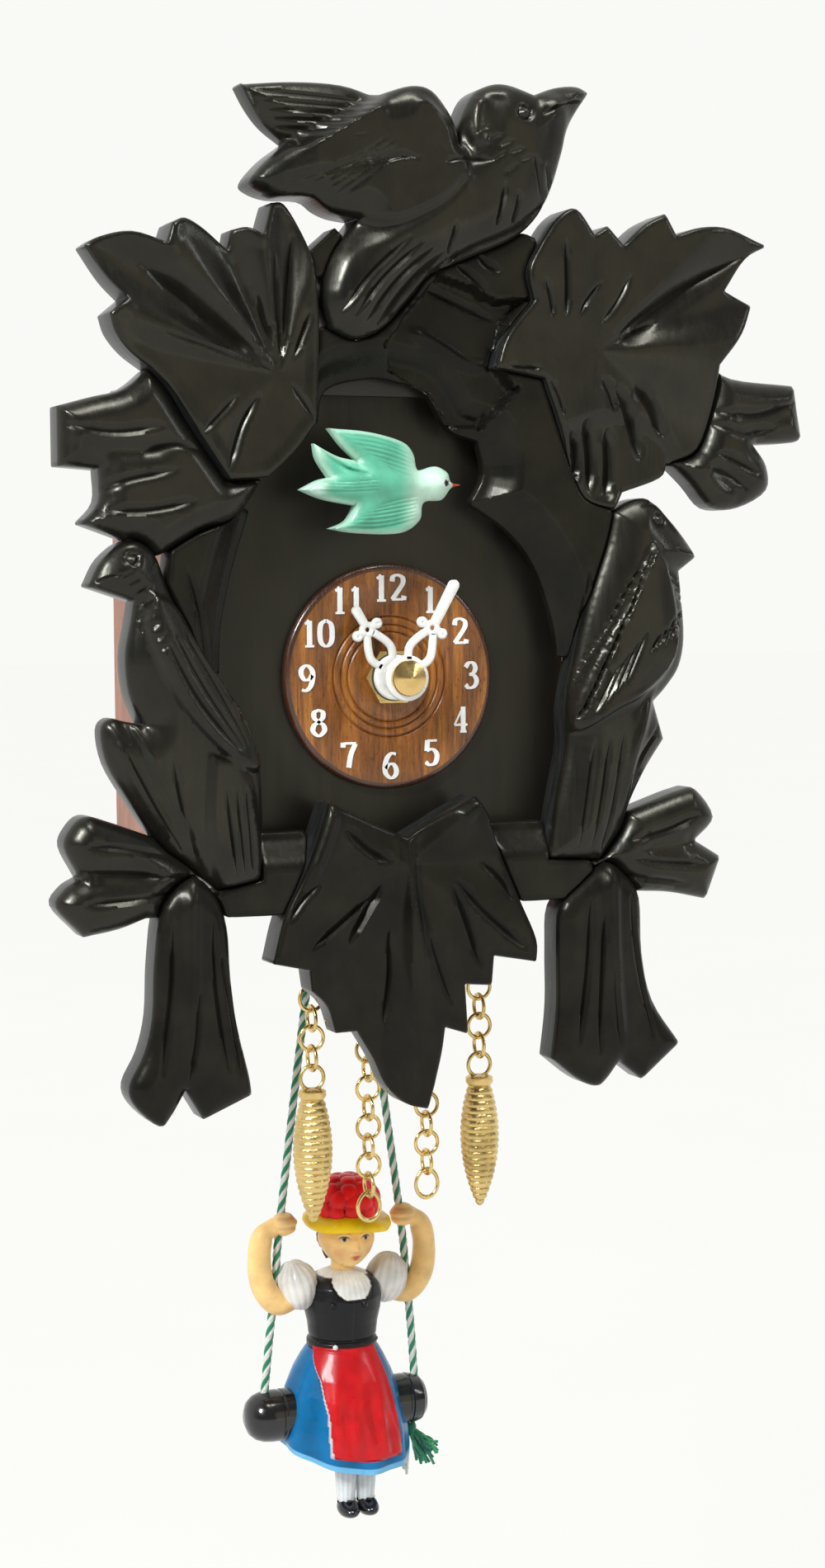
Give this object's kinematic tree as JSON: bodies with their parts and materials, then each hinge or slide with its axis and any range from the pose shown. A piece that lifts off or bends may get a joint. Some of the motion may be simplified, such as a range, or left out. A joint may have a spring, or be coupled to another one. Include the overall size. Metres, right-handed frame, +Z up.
{
  "type": "cuckoo clock",
  "caption": "Miniature carved wall clock with leaves and birds, wooden dial, chain weights and a doll on a swing.",
  "frame": {"origin": "centre of the hanger hole on the wall plane at the back of the case", "axes": "+Z up, +X to the viewer's right when facing the dial, -Y toward the viewer, +Y into the wall"},
  "size_m": [0.1364, 0.0548, 0.2513],
  "materials": {
    "black_lacquer": "gloss lacquer",
    "case_wood": "satin varnish",
    "panel_wood": "raw",
    "dial_wood": "gloss varnish",
    "white_plastic": "gloss",
    "brass": "polished",
    "steel": "brushed",
    "grey_plastic": "matte",
    "natural_plastic": "matte",
    "copper_coil": "enamelled wire",
    "board_green": "solder resist",
    "battery_skin": "gloss",
    "green_paint": "painted",
    "cord": "twisted",
    "skin": "painted",
    "red_paint": "painted",
    "dress": "painted",
    "black_plastic": "gloss",
    "stockings": "painted"
  },
  "bodies": {
    "clock": {"front_board": "black_lacquer", "dial_board": "black_lacquer", "top_bird": "black_lacquer", "left_bird": "black_lacquer", "right_bird": "black_lacquer", "left_leaf": "black_lacquer", "right_leaf": "black_lacquer", "bottom_leaf": "black_lacquer", "left_foot": "black_lacquer", "right_foot": "black_lacquer", "left_upper_branch": "black_lacquer", "right_upper_branch": "black_lacquer", "left_lower_branch": "black_lacquer", "right_lower_branch": "black_lacquer", "case_left": "case_wood", "case_right": "case_wood", "case_top": "case_wood", "case_bottom": "case_wood", "hanger_plate": "steel", "dial": "dial_wood", "mounting_nut": "brass", "movement_housing": "grey_plastic", "movement_cover": "grey_plastic", "battery": "battery_skin", "circuit_board": "board_green", "stator": "steel", "motor_coil": "copper_coil", "drive_coil": "copper_coil", "chain_eyes": "brass"},
    "minute": {"minute_hand": "white_plastic", "hand_nut": "brass", "minute_arbor": "steel"},
    "hour": {"hour_hand": "white_plastic", "hour_wheel": "natural_plastic"},
    "change": {"change_wheel": "natural_plastic"},
    "knob": {"setting_knob": "grey_plastic"},
    "rotor": {"rotor": "steel"},
    "intermediate": {"intermediate_wheel": "natural_plastic"},
    "third": {"third_wheel": "natural_plastic"},
    "centre": {"centre_wheel": "natural_plastic"},
    "swing": {"pendulum_bar": "steel", "pendulum_magnet": "steel", "swing_cord_left": "cord", "swing_cord_right": "cord", "cord_tassel": "cord", "swing_seat": "black_plastic", "doll_body": "dress", "doll_head": "skin", "doll_hat": "red_paint", "doll_arms": "skin", "doll_legs": "stockings"},
    "bird": {"rocking_bird": "green_paint", "bird_crank": "steel"},
    "chain_left": {"chain_left": "brass"},
    "chain_right": {"chain_right": "brass"},
    "chain_inner_left": {"chain_inner_left": "brass"},
    "chain_inner_right": {"chain_inner_right": "brass"},
    "weight_left": {"weight_left": "brass"},
    "weight_right": {"weight_right": "brass"},
    "back_panel": {"back_panel": "panel_wood"}
  },
  "joints": [
    {"name": "minute_turn", "type": "hinge", "parent": "clock", "child": "minute", "pos_m": [0, -0.04, -0.044], "axis": [0, 1, 0], "continuous": true},
    {"name": "change_turn", "type": "hinge", "parent": "clock", "child": "change", "pos_m": [-0.00564, -0.033, -0.04605], "axis": [0, 1, 0], "continuous": true},
    {"name": "hour_turn", "type": "hinge", "parent": "clock", "child": "hour", "pos_m": [0, -0.04, -0.044], "axis": [0, 1, 0], "continuous": true},
    {"name": "knob_turn", "type": "hinge", "parent": "clock", "child": "knob", "pos_m": [-0.01155, -0.03, -0.04709], "axis": [0, 1, 0], "continuous": true},
    {"name": "rotor_turn", "type": "hinge", "parent": "clock", "child": "rotor", "pos_m": [0.00052, -0.028, -0.02911], "axis": [0, 1, 0], "continuous": true},
    {"name": "intermediate_turn", "type": "hinge", "parent": "clock", "child": "intermediate", "pos_m": [0.00658, -0.026, -0.03261], "axis": [0, 1, 0], "continuous": true},
    {"name": "third_turn", "type": "hinge", "parent": "clock", "child": "third", "pos_m": [0.00536, -0.028, -0.0395], "axis": [0, 1, 0], "continuous": true},
    {"name": "centre_turn", "type": "hinge", "parent": "clock", "child": "centre", "pos_m": [0, -0.03, -0.044], "axis": [0, 1, 0], "continuous": true},
    {"name": "swing", "type": "hinge", "parent": "clock", "child": "swing", "pos_m": [0, -0.016, -0.024], "axis": [0, 1, 0], "range_deg": [-8, 8]},
    {"name": "bird_rock", "type": "hinge", "parent": "clock", "child": "bird", "pos_m": [-0.004, -0.03, -0.0115], "axis": [0, 1, 0], "range_deg": [-5.4, 5.4]},
    {"name": "chain_left_sway", "type": "hinge", "parent": "clock", "child": "chain_left", "pos_m": [-0.0138, -0.039, -0.0834], "axis": [0, 1, 0], "range_deg": [-3, 12]},
    {"name": "chain_right_sway", "type": "hinge", "parent": "clock", "child": "chain_right", "pos_m": [0.0173, -0.039, -0.0834], "axis": [0, 1, 0], "range_deg": [-12, 3]},
    {"name": "chain_inner_left_sway", "type": "hinge", "parent": "clock", "child": "chain_inner_left", "pos_m": [-0.001, -0.0325, -0.0873], "axis": [0, 1, 0], "range_deg": [-5, 5]},
    {"name": "chain_inner_right_sway", "type": "hinge", "parent": "clock", "child": "chain_inner_right", "pos_m": [0.01, -0.0325, -0.0842], "axis": [0, 1, 0], "range_deg": [-5, 5]},
    {"name": "weight_left_sway", "type": "hinge", "parent": "chain_left", "child": "weight_left", "pos_m": [-0.0138, -0.039, -0.1106], "axis": [0, 1, 0], "range_deg": [-8, 8]},
    {"name": "weight_right_sway", "type": "hinge", "parent": "chain_right", "child": "weight_right", "pos_m": [0.0173, -0.039, -0.1106], "axis": [0, 1, 0], "range_deg": [-8, 8]},
    {"name": "back_panel_slide", "type": "slide", "parent": "clock", "child": "back_panel", "axis": [1, 0, 0], "range_m": [0, 0.06]}
  ],
  "couplings": [
    {"joint": "change_turn", "follows": "minute_turn", "ratio": -0.33333},
    {"joint": "hour_turn", "follows": "minute_turn", "ratio": 0.083333},
    {"joint": "knob_turn", "follows": "minute_turn", "ratio": 1},
    {"joint": "intermediate_turn", "follows": "rotor_turn", "ratio": -0.16667},
    {"joint": "third_turn", "follows": "rotor_turn", "ratio": 0.027778},
    {"joint": "centre_turn", "follows": "rotor_turn", "ratio": -0.0046296},
    {"joint": "bird_rock", "follows": "swing", "ratio": -0.67}
  ]
}
